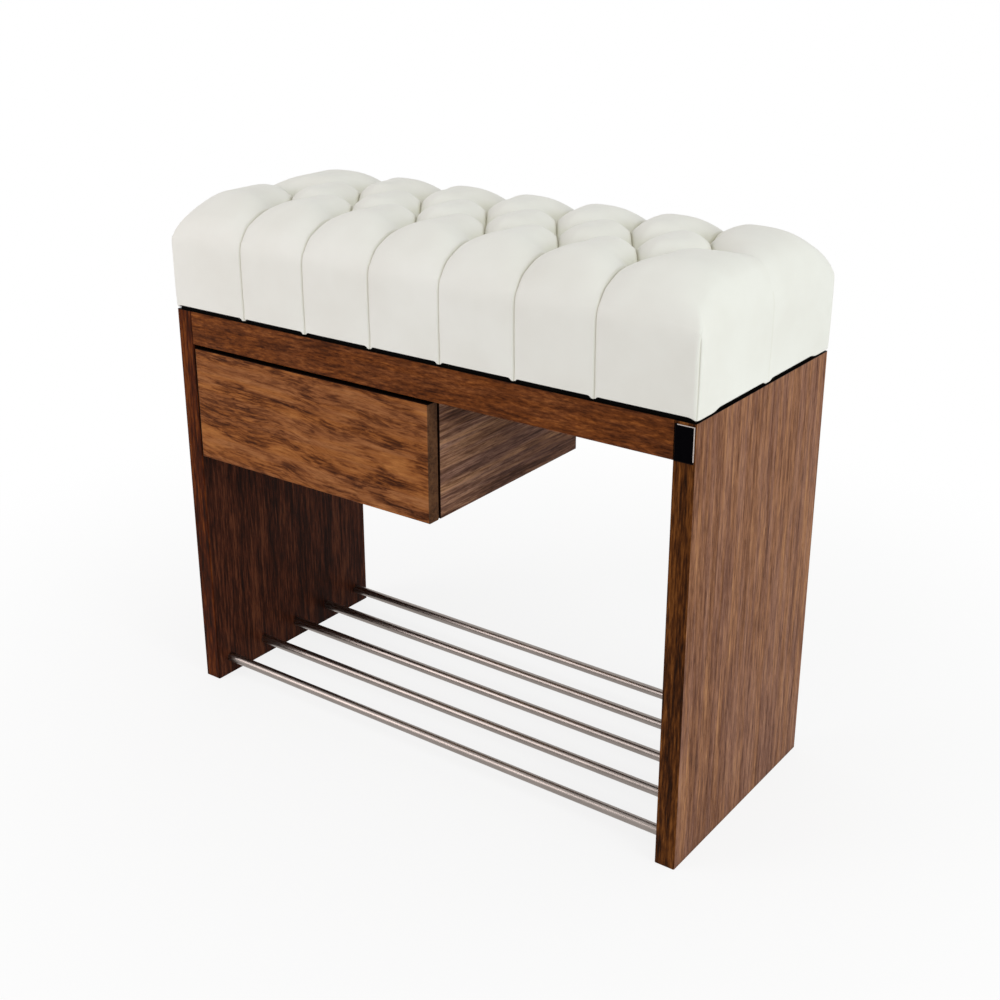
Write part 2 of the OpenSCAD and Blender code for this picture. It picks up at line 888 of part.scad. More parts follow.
module ball_cage(side, back, ball_u, ball_z) {
    color(steel) runner_at(side) translate([0, (runner_l - cage_l) / 2, 0]) union() {
        along_y(cage_l)
            polygon(channel(back, ball_u + ball_d / 2, 2 * ball_z + cage_t, cage_t));
        for (i = [1:ball_count], z = [-ball_z, ball_z])
            translate([ball_u, (i - 1 / 2) * cage_l / ball_count, z]) sphere(d = ball_d);
    }
}

module outer_cage(side) {
    ball_cage(side, outer_cage_back, outer_ball_u, outer_ball_z);
}

module inner_cage(side) {
    ball_cage(side, inner_cage_back, inner_ball_u, inner_ball_z);
}

side_panel_left();
side_panel_right();
front_rail();
back_rail();
top_board();
partition();
case_back();
frame_dowels();
partition_screws();
front_bumpers();
for (i = [1:tube_count])
    rack_tube(i);
corner_plate();
corner_plate_inlay();
cover_hem();
seat_base();
cushion();
tuft_twines();
tuft_washers();
seat_screws();
drawer_front();
drawer_side_left();
drawer_side_right();
drawer_back();
drawer_bottom();
drawer_dowels();
drawer_bottom_screws();
case_member(-1);  // runner_left_case
case_member(1);  // runner_right_case
case_runner_screws();
middle_member(-1);  // runner_left_middle
middle_member(1);  // runner_right_middle
slide_member(-1);  // runner_left_slide
slide_member(1);  // runner_right_slide
slide_runner_screws();
outer_cage(-1);  // cage_left_outer
outer_cage(1);  // cage_right_outer
inner_cage(-1);  // cage_left_inner
inner_cage(1);  // cage_right_inner
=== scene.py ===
"""Looks of the shoe storage bench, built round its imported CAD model.

The wood, steel and drawer are the CAD nodes with procedural materials. The
seat cushion is a piece of its own: a tufted cover with folds and pleats.
Lengths are in metres.
"""

import math

import bpy
import numpy as np
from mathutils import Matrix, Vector


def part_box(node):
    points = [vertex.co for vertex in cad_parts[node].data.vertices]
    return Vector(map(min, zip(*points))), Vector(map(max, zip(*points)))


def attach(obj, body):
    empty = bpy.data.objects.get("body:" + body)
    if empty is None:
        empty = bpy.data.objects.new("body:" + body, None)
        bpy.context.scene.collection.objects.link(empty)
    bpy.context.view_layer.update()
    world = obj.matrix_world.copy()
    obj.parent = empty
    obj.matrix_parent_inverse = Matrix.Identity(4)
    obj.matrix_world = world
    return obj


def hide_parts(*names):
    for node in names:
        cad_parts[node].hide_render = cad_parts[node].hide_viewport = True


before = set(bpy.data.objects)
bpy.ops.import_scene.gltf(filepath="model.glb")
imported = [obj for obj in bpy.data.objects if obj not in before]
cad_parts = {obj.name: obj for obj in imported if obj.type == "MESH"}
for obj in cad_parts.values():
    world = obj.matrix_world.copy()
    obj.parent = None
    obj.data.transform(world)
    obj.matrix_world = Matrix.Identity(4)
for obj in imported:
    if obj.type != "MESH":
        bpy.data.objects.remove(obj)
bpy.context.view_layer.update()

MM = 0.001
rng = np.random.default_rng(11)


# ---------------------------------------------------------------- materials

class Shade:
    """A material and short calls for its nodes."""

    def __init__(self, name, **values):
        self.mat = bpy.data.materials.new(name)
        self.mat.use_nodes = True
        self.tree = self.mat.node_tree
        self.bsdf = self.tree.nodes["Principled BSDF"]
        for key, value in values.items():
            self.set(key.replace("_", " "), value)

    def set(self, socket, value):
        s = self.bsdf.inputs[socket]
        if isinstance(value, bpy.types.NodeSocket):
            self.tree.links.new(value, s)
        else:
            s.default_value = (*value, 1) if isinstance(value, tuple) and len(value) == 3 else value

    def node(self, kind, inputs=(), **settings):
        n = self.tree.nodes.new(kind)
        for key, value in settings.items():
            setattr(n, key, value)
        for key, value in dict(inputs).items():
            if isinstance(value, bpy.types.NodeSocket):
                self.tree.links.new(value, n.inputs[key])
            elif value is not None:
                n.inputs[key].default_value = value
        return n

    def math(self, op, a, b=None, c=None):
        return self.node("ShaderNodeMath", {0: a, 1: b, 2: c}, operation=op).outputs[0]

    def place(self):
        return self.node("ShaderNodeTexCoord").outputs["Object"]

    def split(self, vector):
        return self.node("ShaderNodeSeparateXYZ", {0: vector}).outputs

    def stretched(self, scale, order=(0, 1, 2), offset=(0, 0, 0)):
        """Object coordinates with their axes in a new order, moved and scaled."""
        parts = self.split(self.place())
        v = self.node("ShaderNodeCombineXYZ", {i: parts[order[i]] for i in range(3)}).outputs[0]
        return self.node("ShaderNodeMapping",
                         {"Vector": v, "Location": offset, "Scale": scale}).outputs[0]

    def noise(self, vector, detail=3.0, rough=0.5, distort=0.0):
        return self.node("ShaderNodeTexNoise",
                         {"Vector": vector, "Scale": 1.0, "Detail": detail,
                          "Roughness": rough, "Distortion": distort}).outputs[0]

    def span(self, value, low, high, to_low=0.0, to_high=1.0):
        """Maps the range low, high to to_low, to_high along an S curve."""
        return self.node("ShaderNodeMapRange",
                         {"Value": value, 1: low, 2: high, 3: to_low, 4: to_high},
                         interpolation_type="SMOOTHSTEP").outputs[0]

    def ramp(self, value, stops):
        n = self.node("ShaderNodeValToRGB", {0: value})
        e = n.color_ramp.elements
        while len(e) < len(stops):
            e.new(0.5)
        for item, (at, colour) in zip(e, stops):
            item.position = at
            item.color = (*srgb(*colour), 1)
        return n.outputs[0]

    def mix(self, fac, a, b, mode="MIX"):
        n = self.node("ShaderNodeMix", data_type="RGBA", blend_type=mode)
        for i, value in ((0, fac), (6, a), (7, b)):
            if isinstance(value, bpy.types.NodeSocket):
                self.tree.links.new(value, n.inputs[i])
            else:
                n.inputs[i].default_value = (*value, 1) if isinstance(value, tuple) else value
        return n.outputs[2]

    def bump(self, height, strength, distance):
        return self.node("ShaderNodeBump", {"Height": height, "Strength": strength,
                                            "Distance": distance}).outputs[0]


def srgb(r, g, b):
    """Linear colour of an 8-bit one."""
    return tuple((c / 255 / 12.92) if c <= 10 else ((c / 255 + 0.055) / 1.055) ** 2.4
                 for c in (r, g, b))


GRAIN = {"X": (1, 2, 0), "Y": (2, 0, 1), "Z": (0, 1, 2)}    # orders of the axes, the grain's last
STOPS = (0.28, 0.42, 0.54, 0.70)        # tones of a board's broad faces
FACE_STOPS = (0.36, 0.46, 0.54, 0.66)   # and of its darker faces, where the grain stands out
GAP_REACH = 0.014                       # how far off the next board the painted shade in a gap still reaches
BLACK_RIM = 2 * MM                      # width of the corner plate's blackened rim


def wood(name, axis, tones, seed, run=3.2, contrast=1.0, flecks=0.3, figure=0.0, faces=(), ends=()):
    """Stained open-pored oak with its grain along axis. tones run from dark to light.
    run is how often the streaks change in a metre, flecks how dark the short marks
    are, and figure adds the clouds of a flat-sawn board. faces are (axis, place, side,
    tones) of faces that took the stain in another way, or that are darkened as painted
    shade. ends are given the same way and show no flecks: end grain, and painted shade
    on edges in a gap and on what the seat covers."""
    m = Shade(name, Specular_IOR_Level=0.04)
    order = GRAIN[axis]
    move = (seed * 1.7, seed * 0.9, seed * 2.3)
    parts = m.split(m.place())

    def grain(across, along, detail=2.0, rough=0.55, distort=0.0):
        return m.noise(m.stretched((across, across, along), order, move), detail, rough, distort)

    def slanted(across, along):
        """The same for a board along X, its lines falling a little towards +X."""
        wave = m.noise(m.stretched((7, 7, 7)), 1.0, 0.5)
        fall = m.math("MULTIPLY_ADD", parts[0], 0.09, m.math("MULTIPLY_ADD", wave, 0.035, parts[2]))
        v = {0: m.math("MULTIPLY", parts[1], across), 1: m.math("MULTIPLY", fall, across),
             2: m.math("MULTIPLY", parts[0], along)}
        return m.node("ShaderNodeCombineXYZ", v).outputs[0]

    streak = grain(230, run, 5.0, 0.62, 0.25)
    fibre = grain(430, run * 5, 3.0, 0.65)
    fleck = m.span(grain(430, 62, 2.0, 0.6), 0.52, 0.68)
    pores = m.span(grain(1500, 105, 1.0), 0.60, 0.70)
    tone = m.math("MULTIPLY_ADD", streak, 0.4, m.math("MULTIPLY", grain(60, run / 2), 0.2))
    tone = m.math("MULTIPLY_ADD", fibre, 0.4, tone)
    if figure:
        cloud = m.noise(slanted(50, 12), 3.0, 0.6, 0.9)
        dash = m.span(m.noise(slanted(380, 52), 3.0, 0.65, 0.6), 0.36, 0.66)
        dark = m.math("MULTIPLY", dash, m.span(cloud, 0.38, 0.62, 0.25, 1.0))
        tone = m.math("MULTIPLY_ADD", tone, 0.5, 0.465)
        tone = m.math("MULTIPLY_ADD", cloud, -0.43, tone)
        tone = m.math("MULTIPLY_ADD", m.math("SUBTRACT", dark, 0.3), -figure, tone)
    tone = m.math("MULTIPLY_ADD", m.math("SUBTRACT", tone, 0.5), contrast, 0.5)
    cool, warm = (0.94, 0.95, 1.08), (1.05, 1.01, 0.88)
    hue = m.mix(m.span(grain(120, run * 0.7), 0.36, 0.64), cool, warm)
    colour = m.mix(1.0, m.ramp(tone, list(zip(STOPS, tones))), hue, "MULTIPLY")

    def on_faces(colour, places):
        for i, at, side, face_tones in places:
            mask = m.math("GREATER_THAN" if side > 0 else "LESS_THAN", parts[i], at)
            colour = m.mix(mask, colour, m.ramp(tone, list(zip(FACE_STOPS, face_tones))))
        return colour

    colour = on_faces(colour, faces)
    marked = m.mix(1.0, colour, (0.34, 0.28, 0.24), "MULTIPLY")
    colour = m.mix(m.math("MULTIPLY", fleck, flecks), colour, marked)
    colour = m.mix(m.math("MULTIPLY", pores, 0.35), colour, srgb(24, 10, 5))
    colour = on_faces(colour, ends)
    # painted shade: narrow gaps between boards are darkened from an occlusion node
    near = m.node("ShaderNodeAmbientOcclusion", {"Distance": GAP_REACH}, samples=6).outputs["AO"]
    m.set("Base Color", m.mix(m.span(near, 0.16, 0.56, 1.0, 0.0), colour, srgb(10, 5, 3)))
    height = m.math("ADD", m.math("MULTIPLY", pores, -1.0), m.math("MULTIPLY", fibre, 0.8))
    m.set("Normal", m.bump(height, 0.3, 0.00025))
    rough = m.span(streak, 0.3, 0.7, 0.5, 0.41)
    m.set("Roughness", m.math("ADD", m.math("MULTIPLY", pores, 0.2), rough))
    return m.mat


def metal(name, tone, rough, grain=None, dirt=0.0, relief=0.06):
    """Drawn, plated or brushed metal, with fine lines along grain if it names an axis."""
    m = Shade(name, Metallic=1.0)
    scale = {"X": (6, 1800, 1800), "Y": (1800, 6, 1800), None: (900, 900, 900)}[grain]
    lines = m.noise(m.stretched(scale), 3.0, 0.6)
    clouds = m.noise(m.stretched((40, 40, 40)), 3.0, 0.6)
    m.set("Base Color", m.ramp(m.math("MULTIPLY_ADD", m.math("SUBTRACT", clouds, 0.5), dirt, 0.5),
                               [(0.3, tuple(int(c * 0.82) for c in tone)), (0.7, tone)]))
    m.set("Roughness", m.span(lines, 0.3, 0.7, rough * 0.8, rough * 1.25))
    m.set("Normal", m.bump(lines, relief, 0.00006))
    return m.mat


def plate_rim(node):
    """Pale metal whose rim is blackened at the left and below."""
    m = Shade("plate_rim_metal", Metallic=1.0, Roughness=0.3)
    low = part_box(node)[0]
    parts = m.split(m.place())
    bare = m.math("MULTIPLY", m.math("GREATER_THAN", parts[0], low.x + BLACK_RIM),
                  m.math("GREATER_THAN", parts[2], low.z + BLACK_RIM))
    grain = m.noise(m.stretched((6, 900, 900)), 2.0, 0.5)
    bright = m.ramp(grain, [(0.3, (178, 168, 162)), (0.7, (206, 196, 190))])
    m.set("Base Color", m.mix(bare, srgb(14, 11, 12), bright))
    return m.mat


def leatherette():
    """Ivory cover with a fine grain, and painted shade: warm beige along the fold edges and darker
    down in the folds.
    """
    m = Shade("ivory_leatherette", Specular_IOR_Level=0.32, Sheen_Weight=0.06, Sheen_Roughness=0.5)
    edge = m.node("ShaderNodeAttribute", attribute_name="fold_edge").outputs["Fac"]
    deep = m.node("ShaderNodeAttribute", attribute_name="fold_deep").outputs["Fac"]
    clouds = m.noise(m.stretched((14, 14, 14)), 3.0, 0.55)
    pebble = m.noise(m.stretched((1900, 1900, 1900)), 2.0, 0.6)
    cells = m.node("ShaderNodeTexVoronoi",
                   {"Vector": m.stretched((1000, 1000, 1000)), "Scale": 1.0},
                   feature="DISTANCE_TO_EDGE").outputs["Distance"]
    colour = m.ramp(clouds, [(0.3, (231, 229, 221)), (0.7, (237, 236, 229))])
    # painted shade from the fold attributes: beige down in the folds, darker at their bottoms, and
    # warm beige along creases, lips and seams
    colour = m.mix(m.span(deep, 0.2, 0.6, 0.0, 0.4), colour, srgb(228, 228, 208))
    colour = m.mix(m.span(deep, 0.75, 1.0, 0.0, 0.5), colour, srgb(160, 152, 126))
    colour = m.mix(m.math("MULTIPLY", edge, 0.42), colour, srgb(202, 197, 170))
    m.set("Base Color", colour)
    m.set("Roughness", m.span(clouds, 0.3, 0.7, 0.50, 0.56))
    height = m.math("ADD", m.math("MULTIPLY", pebble, 0.6), m.span(cells, 0.0, 0.25, 0.0, 0.5))
    m.set("Normal", m.bump(height, 0.16, 0.00018))
    return m.mat


def plywood(name, tones, order, seed):
    """Light wood with its grain along the last axis of order."""
    m = Shade(name, Specular_IOR_Level=0.3)
    streak = m.noise(m.stretched((160, 160, 4), order, (seed, seed, seed)), 4.0, 0.6, 0.2)
    fleck = m.noise(m.stretched((900, 900, 90), order, (seed, 0, seed)), 1.0, 0.5)
    colour = m.ramp(streak, list(zip((0.3, 0.5, 0.7), tones)))
    m.set("Base Color", m.mix(m.span(fleck, 0.6, 0.72, 0.0, 0.35), colour, srgb(120, 84, 52)))
    m.set("Roughness", m.span(streak, 0.3, 0.7, 0.5, 0.62))
    m.set("Normal", m.bump(streak, 0.1, 0.0002))
    return m.mat


def grainy(name, dark, light, rough, size, depth=0.0002, **values):
    """Paint, rubber, cloth or cord: two close tones with a fine relief."""
    m = Shade(name, **values)
    n = m.noise(m.stretched((1 / size,) * 3), 3.0, 0.6)
    m.set("Base Color", m.ramp(n, [(0.3, dark), (0.7, light)]))
    m.set("Roughness", m.span(n, 0.3, 0.7, rough * 0.9, rough * 1.1))
    m.set("Normal", m.bump(n, 0.3, depth))
    return m.mat


WALNUT = [(80, 46, 30), (114, 74, 52), (141, 97, 71), (170, 122, 86)]
RAIL = [(50, 21, 7), (84, 42, 16), (110, 59, 26), (146, 86, 42)]
FRONT = [(62, 30, 13), (106, 59, 29), (142, 86, 46), (178, 118, 68)]
PART = [(84, 54, 40), (120, 83, 64), (152, 110, 86), (200, 152, 120)]
DARK = [(36, 17, 11), (54, 28, 18), (72, 40, 27), (92, 56, 38)]
LEFT_EDGE = [(34, 11, 2), (58, 21, 3), (78, 31, 6), (112, 56, 16)]
RIGHT_EDGE = [(36, 16, 4), (70, 35, 10), (97, 54, 19), (132, 80, 36)]
# painted shade: darker tones for the side panels' inner faces
INNER_SHADE_TONES = [(34, 15, 9), (55, 26, 15), (77, 38, 24), (106, 60, 38)]
DRAWER_END = [(74, 48, 29), (88, 57, 36), (100, 66, 42), (116, 78, 50)]
# painted shade: near-black tones for the frame's tops under the seat
SEAT_SHADE_TONES = [(6, 3, 2), (9, 5, 3), (12, 6, 4), (16, 9, 6)]
# painted shade: near-black tones for edges that stand in the gaps round the drawer
GAP_SHADE_TONES = [(20, 9, 5), (30, 14, 8), (38, 18, 11), (50, 26, 16)]
PART_END = [(70, 43, 30), (82, 52, 37), (90, 58, 42), (102, 67, 49)]
BIRCH = [(176, 138, 96), (200, 164, 120), (218, 186, 144)]


def panel_faces(node, inner, edge):
    """A side panel's front edge, which took more stain, and its inner face, darkened as painted
    shade.
    """
    low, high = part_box(node)
    at = high.x - INNER_SKIN if inner > 0 else low.x + INNER_SKIN
    return [(0, at, inner, INNER_SHADE_TONES), (1, low.y + EDGE_SKIN, -1, edge)]


# How far inside a face its own tones begin
INNER_SKIN, EDGE_SKIN, TOP_SKIN, END_SKIN = 1 * MM, 0.9 * MM, 0.4 * MM, 0.5 * MM
left_faces = panel_faces("side_panel_left", 1, LEFT_EDGE)
right_faces = panel_faces("side_panel_right", -1, RIGHT_EDGE)
# painted shade on the frame's tops under the seat
frame_tops = [(2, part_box("front_rail")[1].z - TOP_SKIN, 1, SEAT_SHADE_TONES)]
low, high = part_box("drawer_front")
# the drawer front's ends keep their own tones, and its top edge in the gap gets painted shade
drawer_ends = [(0, high.x - END_SKIN, 1, DRAWER_END), (0, low.x + END_SKIN, -1, DRAWER_END),
               (2, high.z - END_SKIN, 1, GAP_SHADE_TONES)]
low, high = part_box("partition")
# the partition's front edge in its gap gets painted shade, and its back end its own tones
partition_ends = [(1, low.y + END_SKIN, -1, GAP_SHADE_TONES), (1, high.y - END_SKIN, 1, PART_END)]

MATERIALS = {
    "side_panel_left": wood("oak_panel_left", "Z", WALNUT, 1.0, run=9.0, contrast=1.6,
                            faces=left_faces, ends=frame_tops),
    "side_panel_right": wood("oak_panel_right", "Z", WALNUT, 2.0, run=9.0, contrast=1.6,
                             faces=right_faces, ends=frame_tops),
    "front_rail": wood("oak_front_rail", "X", RAIL, 3.0, run=24.0, contrast=1.5, flecks=0.6,
                       ends=frame_tops),
    "back_rail": wood("oak_back_rail", "X", RAIL, 4.0, run=24.0, contrast=1.5, flecks=0.6,
                      ends=frame_tops),
    "top_board": wood("oak_top_board", "X", DARK, 5.0),
    "partition": wood("oak_partition", "Y", PART, 6.0, run=6.0, contrast=2.1, flecks=0.4,
                      ends=partition_ends),
    "case_back": wood("oak_case_back", "X", DARK, 7.0),
    "drawer_front": wood("oak_drawer_front", "X", FRONT, 8.0, run=7.0, figure=0.24,
                         ends=drawer_ends),
    "seat_base": plywood("seat_plywood", BIRCH, (1, 2, 0), 1.0),
    "corner_plate": plate_rim("corner_plate"),
    "corner_plate_inlay": grainy("plate_inlay_black", (2, 1, 3), (5, 4, 6), 0.6, 0.0015, 0.00002,
                                 Specular_IOR_Level=0.01),
    "cover_hem": grainy("hem_cloth", (6, 5, 5), (12, 11, 10), 0.9, 0.0007,
                        Specular_IOR_Level=0.05),
    "tuft_twines": grainy("tuft_twine", (196, 186, 164), (220, 212, 194), 0.8, 0.0006),
    "front_bumpers": grainy("bumper_rubber", (150, 150, 146), (176, 176, 172), 0.35, 0.002,
                            Transmission_Weight=0.3),
}
drawer_wood = plywood("drawer_birch", BIRCH, (2, 0, 1), 2.0)
drawer_wood_x = plywood("drawer_birch_across", BIRCH, (1, 2, 0), 3.0)
beech = plywood("dowel_beech", [(186, 142, 100), (204, 162, 120), (216, 178, 138)], (1, 2, 0), 4.0)
zinc = metal("screw_zinc", (190, 192, 196), 0.3, dirt=0.6)
runner_zinc = metal("runner_zinc", (176, 180, 184), 0.34, "Y", dirt=0.8)
cage_steel = metal("cage_steel", (150, 152, 156), 0.26, "Y", dirt=0.4)
tube_steel = metal("tube_stainless", (158, 148, 142), 0.29, "X", dirt=0.3, relief=0.0)
for names, mat in (
    (("drawer_side_left", "drawer_side_right", "drawer_bottom"), drawer_wood),
    (("drawer_back",), drawer_wood_x),
    (("frame_dowels", "drawer_dowels"), beech),
    (("partition_screws", "seat_screws", "drawer_bottom_screws", "case_runner_screws",
      "slide_runner_screws", "tuft_washers"), zinc),
    ([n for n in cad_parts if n.startswith("runner_")], runner_zinc),
    ([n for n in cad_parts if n.startswith("cage_")], cage_steel),
    ([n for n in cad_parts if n.startswith("rack_tube_")], tube_steel),
):
    for n in names:
        MATERIALS[n] = mat
for n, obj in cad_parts.items():
    if n in MATERIALS:
        obj.data.materials.clear()
        obj.data.materials.append(MATERIALS[n])


# ------------------------------------------------------------------ cushion

lo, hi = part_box("cushion")
HALF_L, HALF_W, SEAT_Z = hi.x / MM, hi.y / MM, lo.z / MM
PITCH, ROW = 81.5, 58.0                 # tufts along a row, and rows of tufts
CROWN, SHOULDER = 117.0, 65.0           # heights over the cover's lower edge
KNEE, KNEE_R = 21.0, 13.5               # height and depth of the bend over the shoulder
REACH_X, REACH_Y = 80.0, 54.0           # how far in from each edge the crown rises
ROUND_X, ROUND_Y = 5.0, 1.8             # how fully it rises
PLEAT_FADE, END_FADE = 0.62, 1.8        # how soon the folds fade towards the edges
CORNER_R = 6.0                          # radius of the corners in plan
DIP, DIP_R = 0.3, 34.0                  # share of the bend lost at a corner, and its reach
RIM = 2.2                               # how far in the top's net ends
FOLD, PLEAT = 15.5, 1.8                 # depth of the folds, and of the pleats down the sides
FOLD_R, WAIST_R = 34.0, 21.0            # reach of a fold at a tuft, and half-way to the next
PLEAT_R = 24.0                          # reach of a pleat at the edge
PIT, PIT_R = 11.5, 46.0                 # extra depth at a tuft, and how far it reaches
PIT_VARY = 1.2                          # how much that depth differs from tuft to tuft
JOIN = 4                                # power at which folds that meet are added up
CREASE, CREASE_R = 0.9, 0.7             # depth and width of the thread line in a fold
CREASE_TOP, CALM = 1.6, 30.0            # how much deeper it is on the top, this far in
LIP, LIP_AT, LIP_R = 0.35, 1.4, 1.0     # height, place and width of the lip beside it
END_CREASE, END_CREASE_R = 0.6, 0.9     # depth and width of the faint line up each end
SEAM, SEAM_R = 0.8, 0.45                # depth and width of the seam up each corner
EDGE_LIFT, END_LIFT, DROP = 2.0, 1.9, 0.6   # lower edge: lift on sides and ends, and its drop
HANG_CORNER, HANG_THIRD = 5.0, 36.0     # how wide the parts are that hang at the corners,
HANG_MIDDLE, HANG_PLEAT = 7.0, 3.2      # in the ends' thirds and middle, and at each pleat
WARP_END, WARP_FADE = 285.0, 40.0       # where the drawing of lines to folds ends, and how soon
FINE = 36                               # steps from one tuft row to the next
EDGE_LINES = 43                         # lines from the outer tufts to the long edge

# All of this is worked out in millimetres
step_x, step_y = PITCH / FINE, ROW / FINE
half_n = int((HALF_L - 0.75 * step_x) / step_x)
NEAR = [0.0, 0.5, 1.3]                  # extra lines beside each corner seam


def row_points(odd):
    """x of the points of one row, from end to end."""
    shift = 0.5 if odd else 0.0
    inner = (np.arange(-half_n, half_n + (0 if odd else 1)) + shift) * step_x
    ends = HALF_L - np.array(NEAR)
    return np.concatenate([-ends, inner, ends[::-1]])


def edge_rows():
    """y of the rows between the outer tufts and the long edge, from the edge in."""
    inner = np.linspace(-ROW, -HALF_W + 3.0, EDGE_LINES)[1:]
    return np.concatenate([-HALF_W + np.array(NEAR), inner[::-1]])


rows = [(y, False) for y in edge_rows()]
rows += [(-ROW + j * step_y, j % 2 == 1) for j in range(2 * FINE + 1)]
rows += [(-y, False) for y, _ in reversed(rows[:len(edge_rows())])]


def warp(x, y):
    """Draws the net's lines together at the folds."""
    held = np.clip(y, -ROW, ROW)
    a, b = x / PITCH + held / (2 * ROW), x / PITCH - held / (2 * ROW)

    def draw(v):
        near = np.round(v)
        gap = v - near
        return near + 0.5 * np.sign(gap) * np.abs(2 * gap) ** 1.5

    a2, b2 = draw(a), draw(b)
    fade = np.clip((WARP_END - np.abs(x)) / WARP_FADE, 0, 1)
    fade = fade * fade * (3 - 2 * fade)
    return x + fade * (PITCH * (a2 + b2) / 2 - x), y + fade * (ROW * (a2 - b2) - held)


net, starts, counts = [], [], []
for y, odd in rows:
    xs = row_points(odd)
    starts.append(sum(counts))
    counts.append(len(xs))
    net.append(np.column_stack([xs, np.full(len(xs), y)]))
net = np.concatenate(net)
net_x, net_y = warp(net[:, 0], net[:, 1])

middle = [(k * PITCH, 0.0) for k in range(-3, 4)]
outer = [((k + 0.5) * PITCH, side * ROW) for side in (-1, 1) for k in range(-3, 3)]
diagonals = [(a, b) for a in outer for b in middle if abs(a[0] - b[0]) < PITCH]
pleat_xs = [(k + 0.5) * PITCH for k in range(-3, 3)]
lift = {t: float(rng.uniform(-1, 1)) for t in middle + outer}


def bowl(u):
    """Side of a puff: 1 at the fold, where it is upright, and 0 at its reach."""
    u = 1 - np.clip(u, 0, 1)
    return 0.3 * (1 - np.sqrt(np.maximum(1 - u ** 2, 0))) + 0.7 * u ** 2


def soft_min(a, b, width=10.0):
    h = np.clip(0.5 + 0.5 * (b - a) / width, 0, 1)
    return b + (a - b) * h - width * h * (1 - h)


def round_inset(gap_x, gap_y):
    """Distance in from the outline with its rounded corners."""
    u, v = np.maximum(CORNER_R - gap_x, 0), np.maximum(CORNER_R - gap_y, 0)
    return np.where((u > 0) & (v > 0), CORNER_R - np.hypot(u, v), np.minimum(gap_x, gap_y))


def knee(inset):
    return KNEE * np.sqrt(1 - (1 - np.clip(inset / KNEE_R, 0, 1)) ** 2)


def knee_inset(height):
    """The inverse of knee."""
    return KNEE_R * (1 - np.sqrt(1 - np.clip(height / KNEE, 0, 1) ** 2))


def dome(x, y):
    """Height of the cover without its folds, over its lower edge."""
    gap_x, gap_y = HALF_L - np.abs(x), HALF_W - np.abs(y)
    rise_x = 1 - (1 - np.clip(gap_x / REACH_X, 0, 1)) ** ROUND_X
    rise_y = 1 - (1 - np.clip(gap_y / REACH_Y, 0, 1)) ** ROUND_Y
    dip = DIP * (np.clip(1 - gap_x / DIP_R, 0, 1) * np.clip(1 - gap_y / DIP_R, 0, 1)) ** 2
    bend = knee(round_inset(gap_x, gap_y)) * (1 - dip)
    return SHOULDER + bend + (CROWN - SHOULDER - KNEE) * rise_x * rise_y


def plan_inset(gap, rim=RIM):
    """Distance in from the outline of a net point that is gap from the net's edge."""
    return gap + rim * np.clip(1 - gap / 25, 0, 1) ** 2


def crease_at(gap):
    """Share of the narrow crease at a distance from its line."""
    return np.exp(-(gap / CREASE_R) ** 2)


def lip_at(gap):
    """Share of the raised lip beside it."""
    return np.exp(-((gap - LIP_AT) / LIP_R) ** 2)


def folds_at(x, y):
    """Depth of the folds, and shares of the narrow crease and of the raised lip
    beside it, at points of the plan."""
    total = np.zeros_like(x)
    crease = np.zeros_like(x)
    lip = np.zeros_like(x)
    for (a, b) in diagonals:
        run = np.subtract(b, a)
        length = np.hypot(*run)
        t = np.clip(((x - a[0]) * run[0] + (y - a[1]) * run[1]) / length ** 2, 0, 1)
        dx, dy = x - a[0] - t * run[0], y - a[1] - t * run[1]
        d = np.hypot(dx, dy)
        ends = np.abs(2 * t - 1) ** 1.5
        reach = WAIST_R + (FOLD_R - WAIST_R) * ends
        total += (FOLD * (0.8 + 0.2 * ends) * bowl(d / reach)) ** JOIN
        crease = np.maximum(crease, crease_at(d))
        lip = np.maximum(lip, (dy < 0) * lip_at(d))
    for px in pleat_xs:
        t = np.clip((np.abs(y) - ROW) / (HALF_W - RIM - ROW), 0, 1)
        gap = np.hypot(x - px, np.minimum(np.abs(y) - ROW, 0))
        reach = FOLD_R + (PLEAT_R - FOLD_R) * t ** 2
        total += ((PLEAT + (FOLD - PLEAT) * (1 - t) ** PLEAT_FADE) * bowl(gap / reach)) ** JOIN
        crease = np.maximum(crease, crease_at(gap))
        lip = np.maximum(lip, (x < px) * lip_at(gap))
    for sx in (-1, 1):
        tip = middle[0 if sx < 0 else -1][0]
        t = np.clip((np.abs(x) - abs(tip)) / (HALF_L - abs(tip)), 0, 1)
        gap = np.hypot(y, np.minimum(sx * x - abs(tip), 0))
        total += (FOLD * (0.04 + 0.96 * (1 - t) ** END_FADE) * bowl(gap / (FOLD_R - 8 * t))) ** JOIN
    depth = total ** (1 / JOIN)
    for t in middle + outer:
        d = np.hypot(x - t[0], y - t[1])
        depth += (PIT + PIT_VARY * lift[t]) * np.clip(1 - d / PIT_R, 0, 1) ** 2
    return depth, crease, lip


def top_points():
    gap_x, gap_y = HALF_L - np.abs(net_x), HALF_W - np.abs(net_y)
    x = np.sign(net_x) * (HALF_L - plan_inset(gap_x))
    y = np.sign(net_y) * (HALF_W - plan_inset(gap_y))
    x, y = rounded(x, y)
    e = 0.4
    slope_x = (dome(x + e, y) - dome(x - e, y)) / (2 * e)
    slope_y = (dome(x, y + e) - dome(x, y - e)) / (2 * e)
    normal = np.column_stack([-slope_x, -slope_y, np.ones_like(x)])
    normal /= np.linalg.norm(normal, axis=1)[:, None]
    depth, crease, lip = folds_at(x, y)
    inner = np.clip(soft_min(gap_x, gap_y) / CALM, 0, 1)
    cut = depth + crease * (CREASE + CREASE_TOP * inner) - lip * (LIP + LIP * inner)
    points = np.column_stack([x, y, dome(x, y)]) - normal * cut[:, None]
    return points, np.maximum(crease, 0.45 * lip * inner), depth, x, y


